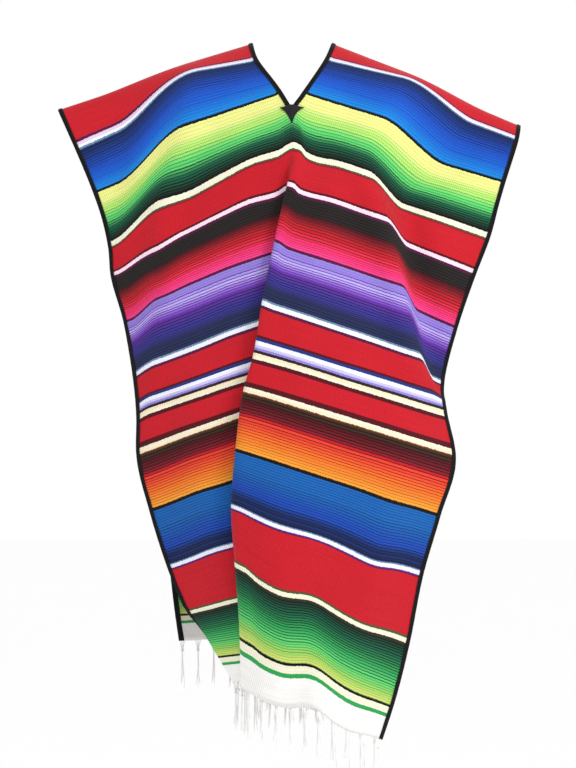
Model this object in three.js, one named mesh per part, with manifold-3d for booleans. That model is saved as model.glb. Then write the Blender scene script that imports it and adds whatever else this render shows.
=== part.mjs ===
import * as THREE from 'three';
import ManifoldModule from 'manifold-3d';

// A serape worn as a poncho: one striped woven length with a slit for the head.
// Millimetres. X runs from one shoulder to the other, the front hangs at -Y, Z is up.
// A place in the cloth is told by ACROSS (from the middle of its width) and
// ALONG (from the fold over the shoulders, plus to the front hem, minus to the back hem).

// ---- Driving sizes ----
const HALF_WIDTH = 340;
const HALF_LENGTH = 1078;
const SLIT_END = 160;
const CLOTH_WALL = 2;
const SEAM_GAP = 0.3;
const TAPE_WALL = 1;
const TAPE_WIDTH = 7.5;
const TAPE_STOP = 152;
const TACK_WALL = 1.2;
const TACK_END = 181;
const TACK_COLUMNS = 3;
const BACKING_DROP = 5;
const ROOT_SHARE = 0.6;
const FRINGE_LENGTH = 76;
const FRINGE_COUNT = 27;
const FRINGE_ROOT = 1.5;
const FRINGE_KNOT = 2.3;
const FRINGE_TIP = 0.9;
const FRINGE_SIDES = 4;
const KNOT_AT = 16;
const FRINGE_UNEVEN = 0.05;
const FRINGE_BEAT = 2.3;

// ---- How a row of the cloth hangs, one line for each distance down the cloth ----
// edge: the side edges. mid: where the middle of the width would lie if nothing were folded.
// tuck: the ACROSS of the hidden fold. lap: the ACROSS of the fold that shows.
// tuckTurn and lapTurn: half the cloth taken up by each turn.
// belly, leftOut and rightOut: how far out the middle and the edges stand.
const ROW_COLUMNS = [
  'along', 'leftX', 'leftZ', 'leftMidX', 'leftMidZ', 'rightX', 'rightZ', 'rightMidX', 'rightMidZ',
  'tuck', 'lap', 'tuckTurn', 'lapTurn', 'belly', 'leftOut', 'rightOut',
];
const FRONT_ROWS = [
  [0, -376, -102, -65, 5, 366, -128, 64, 5, 0, 0, 11, 11, 0, 0, 0],
  [48, -348, -164, -58, -19, 362, -149, 54, -19, 0, 0, 11, 11, 43, 35, 35],
  [134, -316, -242, -14, -82, 338, -226, 13, -82, 0, 0, 11, 11, 83, 48, 48],
  [160, -308, -265, -2, -105, 331, -250, -2, -105, 0, 0, 11, 11, 91, 50, 50],
  [222, -295, -320, 2, -165, 316, -306, 2, -165, 0, 0, 11, 11, 106, 54, 54],
  [283, -291, -366, 8, -227, 294, -363, -7, -223, -13, 0, 11, 11, 117, 54, 54],
  [379, -270, -443, 30, -307, 263, -453, -24, -320, -42, -3, 11, 11, 128, 53, 48],
  [474, -255, -531, 49, -405, 242, -541, -41, -416, -64, -10, 11, 11, 134, 53, 43],
  [555, -249, -598, 60, -483, 246, -587, -49, -498, -80, -16, 11, 11, 138, 58, 48],
  [616, -249, -656, 61, -543, 260, -658, -60, -558, -93, -19, 11, 13, 139, 61, 58],
  [712, -228, -741, 86, -638, 235, -754, -80, -652, -110, -13, 11, 16, 141, 67, 67],
  [806, -200, -829, 116, -732, 208, -846, -103, -734, -120, 2, 11, 21, 142, 70, 70],
  [912, -169, -906, 151, -827, 186, -955, -119, -824, -122, 24, 11, 26, 144, 74, 74],
  [1024, -129, -981, 198, -936, 159, -1059, -146, -930, -122, 62, 11, 29, 146, 77, 77],
  [1078, -105, -1022, 222, -978, 142, -1110, -164, -1007, -122, 83, 11, 29, 146, 77, 77],
];
const BACK_ROWS = [
  [0, -376, -102, -65, 5, 366, -128, 64, 5, 0, 0, 11, 11, 0, 0, 0],
  [48, -346, -157, -58, -19, 357, -149, 54, -19, 0, 0, 11, 11, 39, 35, 35],
  [134, -313, -229, -14, -82, 334, -226, 13, -82, 0, 0, 11, 11, 75, 48, 48],
  [160, -304, -250, -2, -105, 327, -250, -2, -105, 0, 0, 11, 11, 82, 50, 50],
  [222, -289, -301, 8, -152, 311, -306, 2, -165, 0, 0, 11, 11, 95, 54, 54],
  [283, -281, -341, 18, -209, 289, -363, -7, -223, -13, 0, 11, 11, 105, 54, 54],
  [379, -263, -408, 37, -282, 258, -453, -24, -320, -42, -3, 11, 11, 115, 53, 48],
  [474, -247, -488, 57, -372, 238, -541, -41, -416, -64, -10, 11, 11, 121, 53, 43],
  [555, -239, -549, 70, -447, 241, -587, -49, -498, -80, -16, 11, 11, 124, 58, 48],
  [616, -236, -597, 74, -510, 255, -658, -60, -558, -93, -19, 11, 13, 125, 61, 58],
  [712, -222, -677, 92, -608, 230, -754, -80, -652, -110, -13, 11, 16, 127, 67, 67],
  [806, -207, -763, 108, -719, 203, -846, -103, -734, -120, 2, 11, 21, 128, 70, 70],
  [912, -198, -834, 122, -814, 181, -955, -119, -824, -122, 24, 11, 26, 130, 74, 74],
  [1024, -188, -917, 140, -910, 154, -1059, -146, -930, -122, 62, 11, 29, 131, 77, 77],
  [1078, -182, -958, 150, -962, 137, -1110, -164, -1007, -122, 83, 11, 29, 131, 77, 77],
];

// ---- The two long creases that run down from the shoulders ----
// at: how far from the middle fold (0) to the side edge (1). lift: how the row rides up
// before the crease, sink: how it drops after it. spread: how wide the crease is.
// proud: how far its ridge stands out and its valley goes in.
const CREASE_COLUMNS = ['along', 'at', 'lift', 'sink', 'spread', 'proud'];
const LEFT_CREASE = [
  [0, 0.55, 13, 4, 0.5, 0],
  [48, 0.53, 90, 13, 0.46, 4],
  [134, 0.7, 56, 38, 0.36, 9],
  [222, 0.84, 35, 20, 0.32, 10],
  [283, 0.86, 30, 16, 0.3, 10],
  [379, 0.87, 20, 25, 0.26, 10],
  [474, 0.95, 11, 4, 0.2, 6],
  [555, 0.98, 8, 0, 0.15, 2],
  [616, 1, 0, 0, 0.15, 0],
  [1078, 1, 0, 0, 0.15, 0],
];
const RIGHT_CREASE = [
  [0, 0.6, 16, 5, 0.45, 0],
  [48, 0.57, 54, 14, 0.42, 5],
  [134, 0.53, 42, 45, 0.38, 10],
  [222, 0.474, 32, 32, 0.27, 12],
  [283, 0.57, 34, 20, 0.23, 13],
  [379, 0.73, 37, 10, 0.22, 14],
  [474, 0.9, 32, 5, 0.16, 9],
  [555, 1, 0, 0, 0.12, 2],
  [616, 1, 0, 0, 0.12, 0],
  [1078, 1, 0, 0, 0.12, 0],
];
const BACK_CREASE_SHARE = 0.8;
const BACK_CREASE_SHIFT = -0.06;

// ---- Soft troughs (out below zero) and ridges (out above zero) in the hanging cloth ----
// side: -1 left of the folds, 1 right of them. at: as above. from, full, to: where along.
// out: how far it stands out. up: how far it lifts the row. wide: its half width.
const RIPPLE_COLUMNS = ['side', 'at', 'from', 'full', 'to', 'out', 'up', 'wide'];
const FRONT_RIPPLES = [
  [1, 0.2, 690, 900, 1120, 6, -10, 0.17],
  [1, 0.66, 690, 850, 1010, -8, -7, 0.17],
  [1, 0.5, 950, 1090, 1300, 7, 11, 0.12],
  [1, 0.76, 950, 1090, 1300, -5, 4, 0.1],
  [1, 0.3, 380, 600, 820, -4, 0, 0.16],
  [-1, 0.35, 240, 420, 640, -4, 2, 0.14],
  [-1, 0.62, 520, 760, 1000, 4, 3, 0.16],
];
const BACK_RIPPLES = [
  [1, 0.24, 500, 820, 1150, 6, -12, 0.14],
  [1, 0.58, 420, 700, 980, -7, -8, 0.14],
  [1, 0.7, 900, 1090, 1300, 6, 6, 0.12],
  [-1, 0.4, 300, 560, 860, -6, 4, 0.15],
  [-1, 0.7, 640, 980, 1300, 5, 3, 0.15],
];

// ---- Where the rows and columns of facets lie ----
const ROW_STOPS = [
  0, 13, 28, 48, 76, 106, 134, TAPE_STOP, SLIT_END, TACK_END, 201, 222, 252, 283, 330, 379,
  427, 474, 514, 555, 616, 664, 712, 759, 806, 859, 912, 968, 1024, 1051, HALF_LENGTH,
];
const LEFT_FACETS = 8;
const TURN_FACETS = 4;
const RIGHT_FACETS = 9;
const FOLD_FLIP = Math.PI * 0.985;
const BLEND_REACH = 48;
const TURN_LEAST = 14;
const ROW_SAMPLES = 850;
const START_RISE = 1.25;
const RIDGE_WIDE = 0.1;
const RIDGE_APART = 0.4;
const RIDGE_LEAST = 0.05;

function named(columns, rows) {
  return rows.map((row) => Object.fromEntries(columns.map((name, i) => [name, row[i]])));
}

function smooth(t) {
  const s = Math.min(1, Math.max(0, t));
  return s * s * (3 - 2 * s);
}

function bell(t) {
  return Math.exp(-t * t);
}

function mix(a, b, t) {
  return a + (b - a) * t;
}

// A smooth line through the values of one named column. The shoulder end starts level
// for places, so front and back meet in a round fold.
function follow(rows, name, along, level) {
  const last = rows.length - 1;
  let i = 0;
  while (i < last - 1 && along >= rows[i + 1].along) i += 1;
  const slope = (k) => (rows[k + 1][name] - rows[k][name]) / (rows[k + 1].along - rows[k].along);
  const tangent = (k) => {
    if (k === 0) return level ? 0 : slope(0) * START_RISE;
    if (k === last) return slope(last - 1);
    const before = rows[k].along - rows[k - 1].along;
    const after = rows[k + 1].along - rows[k].along;
    return (slope(k - 1) * after + slope(k) * before) / (before + after);
  };
  const span = rows[i + 1].along - rows[i].along;
  const t = (along - rows[i].along) / span;
  const t2 = t * t;
  const t3 = t2 * t;
  return (2 * t3 - 3 * t2 + 1) * rows[i][name] + (t3 - 2 * t2 + t) * span * tangent(i)
    + (3 * t2 - 2 * t3) * rows[i + 1][name] + (t3 - t2) * span * tangent(i + 1);
}

const OUT_COLUMNS = ['belly', 'leftOut', 'rightOut'];

function rowShape(panel, along) {
  const shape = {};
  for (const name of ROW_COLUMNS) {
    shape[name] = follow(panel.rows, name, along, !OUT_COLUMNS.includes(name));
  }
  shape.along = along;
  if (along <= SLIT_END) {
    shape.tuck = 0;
    shape.lap = 0;
  }
  return shape;
}

// How far a row is lifted and stands out at one place, by its crease and its ripples.
function fold(panel, side, at, along) {
  const rows = side < 0 ? panel.leftCrease : panel.rightCrease;
  const get = (name) => follow(rows, name, along, true);
  const centre = get('at') + panel.creaseShift;
  const spread = get('spread');
  const past = smooth((at - centre) / spread + 0.5);
  let up = (get('lift') * at * (1 - past) - get('sink') * (1 - at) * past) * panel.creaseShare;
  const reach = spread * RIDGE_APART + RIDGE_LEAST;
  const ridge = bell((at - centre + reach) / RIDGE_WIDE);
  const valley = bell((at - centre - reach) / RIDGE_WIDE);
  let out = get('proud') * (ridge - valley);
  for (const ripple of panel.ripples) {
    if (ripple.side !== side) continue;
    const rise = smooth((along - ripple.from) / (ripple.full - ripple.from));
    const fall = smooth((ripple.to - along) / (ripple.to - ripple.full));
    const share = rise * fall * bell((at - ripple.at) / ripple.wide);
    up += ripple.up * share;
    out += ripple.out * share;
  }
  return { up, out };
}

// The middle surface of one row at the given places across it. The row is walked from
// the left edge: it turns back at the tuck and turns again at the lap.
function rowPoints(panel, along, places) {
  const s = rowShape(panel, along);
  const folded = s.lap > s.tuck;
  const tuckShare = (u) => smooth((u - s.tuck + s.tuckTurn) / (2 * s.tuckTurn));
  const lapShare = (u) => smooth((u - s.lap + s.lapTurn) / (2 * s.lapTurn));
  const turned = (u) => (folded ? Math.max(0, FOLD_FLIP * (tuckShare(u) - lapShare(u))) : 0);
  const leftRun = [(s.leftMidX - s.leftX) / HALF_WIDTH, (s.leftMidZ - s.leftZ) / HALF_WIDTH];
  const rightRun = [(s.rightX - s.rightMidX) / HALF_WIDTH, (s.rightZ - s.rightMidZ) / HALF_WIDTH];
  const step = (2 * HALF_WIDTH) / ROW_SAMPLES;
  const walk = [[0, 0, 0]];
  let before = null;
  for (let i = 0; i <= ROW_SAMPLES; i += 1) {
    const u = -HALF_WIDTH + i * step;
    const share = folded ? tuckShare(u) : Number(u > 0);
    const turn = turned(u);
    const now = [
      Math.cos(turn) * mix(leftRun[0], rightRun[0], share),
      Math.cos(turn) * mix(leftRun[1], rightRun[1], share),
      Math.sin(turn),
    ];
    if (before) {
      const last = walk[i - 1];
      walk.push(last.map((value, k) => value + ((before[k] + now[k]) / 2) * step));
    }
    before = now;
  }
  const end = walk[ROW_SAMPLES];
  const missX = s.rightX - (s.leftX + end[0]);
  const missZ = s.rightZ - (s.leftZ + end[1]);
  const middle = (s.leftX + s.rightX) / 2;
  const half = (s.rightX - s.leftX) / 2;
  return places.map((u) => {
    const place = ((u + HALF_WIDTH) / (2 * HALF_WIDTH)) * ROW_SAMPLES;
    const i = Math.min(ROW_SAMPLES - 1, Math.floor(place));
    const at = walk[i].map((value, k) => mix(value, walk[i + 1][k], place - i));
    const lapped = (u - s.tuck + BLEND_REACH) / (s.lap - s.tuck + 2 * BLEND_REACH);
    const share = along < SLIT_END ? Number(u > 0) : smooth(lapped);
    const x = s.leftX + at[0] + missX * share;
    const z = s.leftZ + at[1] + missZ * share;
    const side = u < (s.tuck + s.lap) / 2 ? -1 : 1;
    const inner = side < 0 ? s.tuck - s.tuckTurn : s.lap + s.lapTurn;
    const across = Math.max(0, (side < 0 ? inner - u : u - inner) / (HALF_WIDTH - side * inner));
    const bend = fold(panel, side, across, along);
    const lean = (x - middle) / half;
    const edgeOut = lean < 0 ? s.leftOut : s.rightOut;
    const out = edgeOut + (s.belly - edgeOut) * (1 - lean * lean) + at[2] - end[2] / 2 + bend.out;
    return new THREE.Vector3(x, panel.facing * out, z + bend.up);
  });
}

// ---- Places of the facet columns across a row, from the left edge to the right ----
function spaced(from, to, count) {
  return Array.from({ length: count }, (_, i) => mix(from, to, (i + 1) / count));
}

function columnPlaces(panel, along) {
  const s = rowShape(panel, along);
  const centre = (s.tuck + s.lap) / 2;
  const tuckIn = Math.min(s.tuck + s.tuckTurn, centre - TAPE_WIDTH);
  const lapIn = Math.max(s.lap - s.lapTurn, centre + TAPE_WIDTH);
  const tuckOut = Math.min(s.tuck - s.tuckTurn, tuckIn - TURN_LEAST);
  const lapOut = Math.max(s.lap + s.lapTurn, lapIn + TURN_LEAST);
  const left = [
    -HALF_WIDTH, -HALF_WIDTH + TAPE_WIDTH, ...spaced(-HALF_WIDTH + TAPE_WIDTH, tuckOut, LEFT_FACETS),
    ...spaced(tuckOut, tuckIn, TURN_FACETS), centre,
  ];
  const right = [
    centre, lapIn, ...spaced(lapIn, lapOut, TURN_FACETS),
    ...spaced(lapOut, HALF_WIDTH - TAPE_WIDTH, RIGHT_FACETS), HALF_WIDTH,
  ];
  return { left, right };
}

const HAIR = 1e-6;
const DOWN = new THREE.Vector3(0, 0, -1);

function makePanel(facing, rows, ripples, share, shift) {
  return {
    facing,
    rows: named(ROW_COLUMNS, rows),
    leftCrease: named(CREASE_COLUMNS, LEFT_CREASE),
    rightCrease: named(CREASE_COLUMNS, RIGHT_CREASE),
    ripples: named(RIPPLE_COLUMNS, ripples),
    creaseShare: share,
    creaseShift: shift,
  };
}

const FRONT = makePanel(-1, FRONT_ROWS, FRONT_RIPPLES, 1, 0);
const BACK = makePanel(1, BACK_ROWS, BACK_RIPPLES, BACK_CREASE_SHARE, BACK_CREASE_SHIFT);

// The whole middle surface: rows from the back hem to the front hem, each kept as a left
// and a right half. The two halves part along the slit and share their last column below it.
function clothGrid() {
  const stops = [...ROW_STOPS.slice(1).reverse().map((stop) => -stop), ...ROW_STOPS];
  const points = [];
  const alongs = [];
  const left = [];
  const right = [];
  const put = (point, along) => {
    points.push(point);
    alongs.push(along);
    return points.length - 1;
  };
  for (const along of stops) {
    const depth = Math.abs(along);
    const panel = along < 0 ? BACK : FRONT;
    const places = columnPlaces(panel, depth);
    const open = depth < SLIT_END;
    places.left[places.left.length - 1] -= open ? HAIR : 0;
    places.right[0] += open ? HAIR : 0;
    const leftIds = rowPoints(panel, depth, places.left).map((point) => put(point, along));
    const rest = rowPoints(panel, depth, open ? places.right : places.right.slice(1));
    const restIds = rest.map((point) => put(point, along));
    left.push(leftIds);
    right.push(open ? restIds : [leftIds[leftIds.length - 1], ...restIds]);
  }
  return { points, alongs, left, right, stops };
}

// Facets of a strip between two rows. The diagonals lean towards the middle of the cloth.
function rowFacets(upper, lower, leanRight) {
  const facets = [];
  for (let i = 0; i + 1 < upper.length; i += 1) {
    const [a, b, c, d] = [upper[i], upper[i + 1], lower[i + 1], lower[i]];
    if (leanRight) facets.push([a, c, b], [a, d, c]);
    else facets.push([a, d, b], [b, d, c]);
  }
  return facets;
}

function gridFacets(grid) {
  const facets = [];
  for (let j = 0; j + 1 < grid.stops.length; j += 1) {
    const front = grid.stops[j] >= 0;
    facets.push(...rowFacets(grid.left[j], grid.left[j + 1], front));
    facets.push(...rowFacets(grid.right[j], grid.right[j + 1], !front));
  }
  return facets.filter(([a, b, c]) => a !== b && b !== c && a !== c);
}

function facetNormals(points, facets) {
  const normals = points.map(() => new THREE.Vector3());
  for (const facet of facets) {
    const [a, b, c] = facet.map((id) => points[id]);
    const ab = new THREE.Vector3().subVectors(b, a);
    const ac = new THREE.Vector3().subVectors(c, a);
    const normal = ab.cross(ac).normalize();
    facet.forEach((id, k) => {
      const here = points[id];
      const next = new THREE.Vector3().subVectors(points[facet[(k + 1) % 3]], here);
      const other = new THREE.Vector3().subVectors(points[facet[(k + 2) % 3]], here);
      normals[id].addScaledVector(normal, next.angleTo(other));
    });
  }
  return normals.map((normal) => normal.normalize());
}

function moved(point, normal, distance) {
  return new THREE.Vector3().copy(point).addScaledVector(normal, distance);
}

// ---- Solids ----
function solid(points, facets) {
  const geometry = new THREE.BufferGeometry();
  const flat = points.flatMap((point) => [point.x, point.y, point.z]);
  geometry.setAttribute('position', new THREE.Float32BufferAttribute(flat, 3));
  geometry.setIndex(facets.flat());
  geometry.computeVertexNormals();
  return geometry;
}

// A wall between two offsets of the same facets, closed round every free edge.
function wallSolid(points, normals, facets, inner, outer) {
  const used = [...new Set(facets.flat())];
  const ids = new Map(used.map((id, i) => [id, i]));
  const all = [
    ...used.map((id) => moved(points[id], normals[id], outer)),
    ...used.map((id) => moved(points[id], normals[id], inner)),
  ];
  const count = used.length;
  const edges = new Map();
  const closed = [];
  for (const facet of facets) {
    const [a, b, c] = facet.map((id) => ids.get(id));
    closed.push([a, b, c], [a + count, c + count, b + count]);
    for (const [from, to] of [[a, b], [b, c], [c, a]]) {
      if (edges.has(`${to},${from}`)) edges.delete(`${to},${from}`);
      else edges.set(`${from},${to}`, [from, to]);
    }
  }
  for (const [from, to] of edges.values()) {
    closed.push([from, from + count, to], [to, from + count, to + count]);
  }
  return solid(all, closed);
}

// A tape folded over an edge: a U whose legs lie on both faces of the cloth.
function tapeSolid(grid, normals, edgeIds, innerIds) {
  const rise = CLOTH_WALL / 2 + SEAM_GAP;
  const points = [];
  edgeIds.forEach((edgeId, j) => {
    const edge = grid.points[edgeId];
    const inner = grid.points[innerIds[j]];
    const edgeUp = normals[edgeId];
    const innerUp = normals[innerIds[j]];
    const outward = new THREE.Vector3().subVectors(edge, inner);
    outward.addScaledVector(edgeUp, -outward.dot(edgeUp)).normalize();
    const far = moved(edge, outward, SEAM_GAP + TAPE_WALL);
    const near = moved(edge, outward, SEAM_GAP);
    points.push(
      moved(inner, innerUp, rise + TAPE_WALL),
      moved(far, edgeUp, rise + TAPE_WALL),
      moved(far, edgeUp, -rise - TAPE_WALL),
      moved(inner, innerUp, -rise - TAPE_WALL),
      moved(inner, innerUp, -rise),
      moved(near, edgeUp, -rise),
      moved(near, edgeUp, rise),
      moved(inner, innerUp, rise),
    );
  });
  return points;
}

const SECTION = 8;
const BACKING_SECTION = 4;
const SECTION_CAP = [[0, 1, 6], [0, 6, 7], [1, 2, 5], [1, 5, 6], [2, 3, 4], [2, 4, 5]];

// The corners of the section that lie at the edge of the cloth; the others lie inside it.
const EDGE_CORNERS = [2, 6];

// The legs share the diagonals of the cloth under them, so the gap stays even.
function tapeFacets(alongs, edgeLeads, flip) {
  const facets = [];
  for (let j = 0; j + 1 < alongs.length; j += 1) {
    const edgeFirst = alongs[j] >= 0 ? edgeLeads : !edgeLeads;
    for (let k = 0; k < SECTION; k += 1) {
      const a = j * SECTION + k;
      const b = j * SECTION + ((k + 1) % SECTION);
      const [nextA, nextB] = [a + SECTION, b + SECTION];
      if (edgeFirst === EDGE_CORNERS.includes(k)) facets.push([a, b, nextB], [a, nextB, nextA]);
      else facets.push([a, b, nextA], [b, nextB, nextA]);
    }
  }
  const end = (alongs.length - 1) * SECTION;
  facets.push(...SECTION_CAP.map(([a, b, c]) => [a, c, b]));
  facets.push(...SECTION_CAP.map(([a, b, c]) => [a + end, b + end, c + end]));
  return flip ? facets.map(([a, b, c]) => [a, c, b]) : facets;
}

function tape(grid, normals, edgeIds, innerIds, edgeLeads, flip) {
  const alongs = edgeIds.map((id) => grid.alongs[id]);
  return solid(tapeSolid(grid, normals, edgeIds, innerIds), tapeFacets(alongs, edgeLeads, flip));
}

// ---- Fringe: a narrow backing below a hem and the knotted warp ends that hang from it ----
function backing(grid, normals, hem) {
  const points = [];
  hem.forEach((id) => {
    const top = moved(grid.points[id], DOWN, SEAM_GAP);
    const foot = moved(grid.points[id], DOWN, SEAM_GAP + BACKING_DROP);
    for (const [point, side] of [[top, 1], [foot, 1], [foot, -1], [top, -1]]) {
      points.push(moved(point, normals[id], (side * CLOTH_WALL) / 2));
    }
  });
  return points;
}

function backingFacets(count, flip) {
  const facets = [];
  for (let i = 0; i + 1 < count; i += 1) {
    for (let k = 0; k < BACKING_SECTION; k += 1) {
      const a = i * BACKING_SECTION + k;
      const b = i * BACKING_SECTION + ((k + 1) % BACKING_SECTION);
      const [nextA, nextB] = [a + BACKING_SECTION, b + BACKING_SECTION];
      if (flip) facets.push([a, nextB, b], [a, nextA, nextB]);
      else facets.push([a, nextA, b], [b, nextA, nextB]);
    }
  }
  const end = (count - 1) * BACKING_SECTION;
  facets.push([0, 1, 2], [0, 2, 3], [end, end + 2, end + 1], [end, end + 3, end + 2]);
  return flip ? facets.map(([a, b, c]) => [a, c, b]) : facets;
}

function strand(root, length) {
  const rings = [[0, FRINGE_ROOT], [KNOT_AT, FRINGE_KNOT], [length, FRINGE_TIP]];
  const points = rings.flatMap(([drop, radius]) => {
    return Array.from({ length: FRINGE_SIDES }, (_, k) => {
      const turn = (2 * Math.PI * k) / FRINGE_SIDES;
      const x = root.x + Math.cos(turn) * radius;
      return new THREE.Vector3(x, root.y + Math.sin(turn) * radius, root.z - drop);
    });
  });
  const facets = [];
  for (let j = 0; j + 1 < rings.length; j += 1) {
    for (let k = 0; k < FRINGE_SIDES; k += 1) {
      const a = j * FRINGE_SIDES + k;
      const b = j * FRINGE_SIDES + ((k + 1) % FRINGE_SIDES);
      facets.push([a, a + FRINGE_SIDES, b], [b, a + FRINGE_SIDES, b + FRINGE_SIDES]);
    }
  }
  const end = (rings.length - 1) * FRINGE_SIDES;
  for (let k = 1; k + 1 < FRINGE_SIDES; k += 1) {
    facets.push([0, k, k + 1], [end, end + k + 1, end + k]);
  }
  return { points, facets };
}

const kernel = await ManifoldModule();
kernel.setup();

function toManifold(points, facets) {
  const mesh = new kernel.Mesh({
    numProp: 3,
    vertProperties: Float32Array.from(points.flatMap((point) => [point.x, point.y, point.z])),
    triVerts: Uint32Array.from(facets.flat()),
  });
  mesh.merge();
  return new kernel.Manifold(mesh);
}

function fromManifold(body) {
  const mesh = body.getMesh();
  const geometry = new THREE.BufferGeometry();
  geometry.setAttribute('position', new THREE.BufferAttribute(mesh.vertProperties, 3));
  geometry.setIndex(new THREE.BufferAttribute(mesh.triVerts, 1));
  geometry.computeVertexNormals();
  return geometry;
}

function fringe(grid, normals, row, panel, flip) {
  const hem = [...grid.left[row], ...grid.right[row].slice(1)];
  const bodies = [toManifold(backing(grid, normals, hem), backingFacets(hem.length, flip))];
  const places = columnPlaces(panel, HALF_LENGTH);
  const across = [...places.left, ...places.right.slice(1)];
  const spacing = (2 * HALF_WIDTH - TAPE_WIDTH) / (FRINGE_COUNT - 1);
  for (let k = 0; k < FRINGE_COUNT; k += 1) {
    const u = -HALF_WIDTH + TAPE_WIDTH / 2 + k * spacing;
    let i = 0;
    while (across[i + 1] < u) i += 1;
    const share = (u - across[i]) / (across[i + 1] - across[i]);
    const root = new THREE.Vector3().lerpVectors(grid.points[hem[i]], grid.points[hem[i + 1]], share);
    root.addScaledVector(DOWN, SEAM_GAP + BACKING_DROP * ROOT_SHARE);
    const length = FRINGE_LENGTH * (1 + FRINGE_UNEVEN * Math.sin(k * FRINGE_BEAT));
    const hair = strand(root, length);
    bodies.push(toManifold(hair.points, hair.facets));
  }
  return fromManifold(kernel.Manifold.union(bodies));
}

// ---- Materials ----
const COLOURS = {
  cloth: 0xb42a35,
  tape: 0x16161a,
  tack: 0x0e0e12,
  fringe: 0xf1ece2,
};

function material(colour, roughness) {
  return new THREE.MeshStandardMaterial({ color: colour, roughness, metalness: 0 });
}

function piece(name, geometry, surface) {
  const mesh = new THREE.Mesh(geometry, surface);
  mesh.name = name;
  return mesh;
}

// ---- The garment ----
const grid = clothGrid();
const facets = gridFacets(grid);
const normals = facetNormals(grid.points, facets);
const half = CLOTH_WALL / 2;
const rowIds = grid.stops.map((_, j) => j);
const necked = rowIds.filter((j) => Math.abs(grid.stops[j]) <= TAPE_STOP);
const lastLeft = grid.left[0].length - 1;
const lastRight = grid.right[0].length - 1;
const lastRow = grid.stops.length - 1;
const clothWool = material(COLOURS.cloth, 0.95);
const tapeCotton = material(COLOURS.tape, 0.9);
const tackThread = material(COLOURS.tack, 0.7);
const warpYarn = material(COLOURS.fringe, 0.95);

function column(rows, side, k) {
  return rows.map((j) => side[j][k]);
}

function binding(side, edge, inner, flip) {
  const edgeIds = column(rowIds, side, edge);
  return tape(grid, normals, edgeIds, column(rowIds, side, inner), true, flip);
}

function neckTape(side, edge, inner, flip) {
  const edgeIds = column(necked, side, edge);
  return tape(grid, normals, edgeIds, column(necked, side, inner), false, flip);
}

// An arrowhead that closes the end of the slit: a fan from its point to the cloth's
// own columns, TACK_COLUMNS of them on each side.
function tack(sign) {
  const start = grid.stops.indexOf(sign * SLIT_END);
  const tip = grid.left[grid.stops.indexOf(sign * TACK_END)][lastLeft];
  const top = [
    ...grid.left[start].slice(lastLeft - TACK_COLUMNS),
    ...grid.right[start].slice(1, TACK_COLUMNS + 1),
  ];
  const fan = top.slice(1).map((id, i) => (sign > 0 ? [top[i], tip, id] : [top[i], id, tip]));
  const inner = half + SEAM_GAP;
  return wallSolid(grid.points, normals, fan, inner, inner + TACK_WALL);
}

const garment = new THREE.Group();
garment.name = 'serape';
garment.add(
  piece('cloth', wallSolid(grid.points, normals, facets, -half, half), clothWool),
  piece('binding_left', binding(grid.left, 0, 1, false), tapeCotton),
  piece('binding_right', binding(grid.right, lastRight, lastRight - 1, true), tapeCotton),
  piece('neck_tape_left', neckTape(grid.left, lastLeft, lastLeft - 1, true), tapeCotton),
  piece('neck_tape_right', neckTape(grid.right, 0, 1, false), tapeCotton),
  piece('tack_front', tack(1), tackThread),
  piece('tack_back', tack(-1), tackThread),
  piece('fringe_front', fringe(grid, normals, lastRow, FRONT, true), warpYarn),
  piece('fringe_back', fringe(grid, normals, 0, BACK, false), warpYarn),
);

export default garment;
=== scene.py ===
import math
from functools import partial

import bmesh
import bpy
import numpy as np
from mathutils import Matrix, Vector, noise


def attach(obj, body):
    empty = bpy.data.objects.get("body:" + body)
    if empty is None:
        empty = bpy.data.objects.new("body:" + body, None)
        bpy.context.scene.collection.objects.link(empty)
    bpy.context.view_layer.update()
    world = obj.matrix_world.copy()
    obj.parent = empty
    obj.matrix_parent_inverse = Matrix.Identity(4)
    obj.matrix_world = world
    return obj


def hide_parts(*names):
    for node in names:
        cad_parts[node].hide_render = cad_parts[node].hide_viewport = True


# A striped serape worn as a poncho. Metres, with the front at -Y and Z up.
# ACROSS runs over the width of the cloth from its middle, ALONG from the shoulder
# fold, plus to the front hem and minus to the back hem. The tables are in millimetres.

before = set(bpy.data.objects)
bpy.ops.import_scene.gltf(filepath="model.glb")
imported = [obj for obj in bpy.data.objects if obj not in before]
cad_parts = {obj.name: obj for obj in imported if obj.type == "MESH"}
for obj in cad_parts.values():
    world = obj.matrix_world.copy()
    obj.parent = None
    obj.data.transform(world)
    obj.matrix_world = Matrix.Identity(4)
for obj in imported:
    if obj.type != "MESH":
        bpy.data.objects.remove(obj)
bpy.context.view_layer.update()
MM = 0.001

# ---- Sizes of the garment ----
HALF_WIDTH = 340.0
HALF_LENGTH = 1078.0
SLIT_END = 160.0
CLOTH_WALL = 2.2
TAPE_WIDTH = 7.5
FRINGE_LENGTH = 76.0
FRINGE_COUNT = 27
KNOT_AT = 16.0
HAIR = 1e-6

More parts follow.
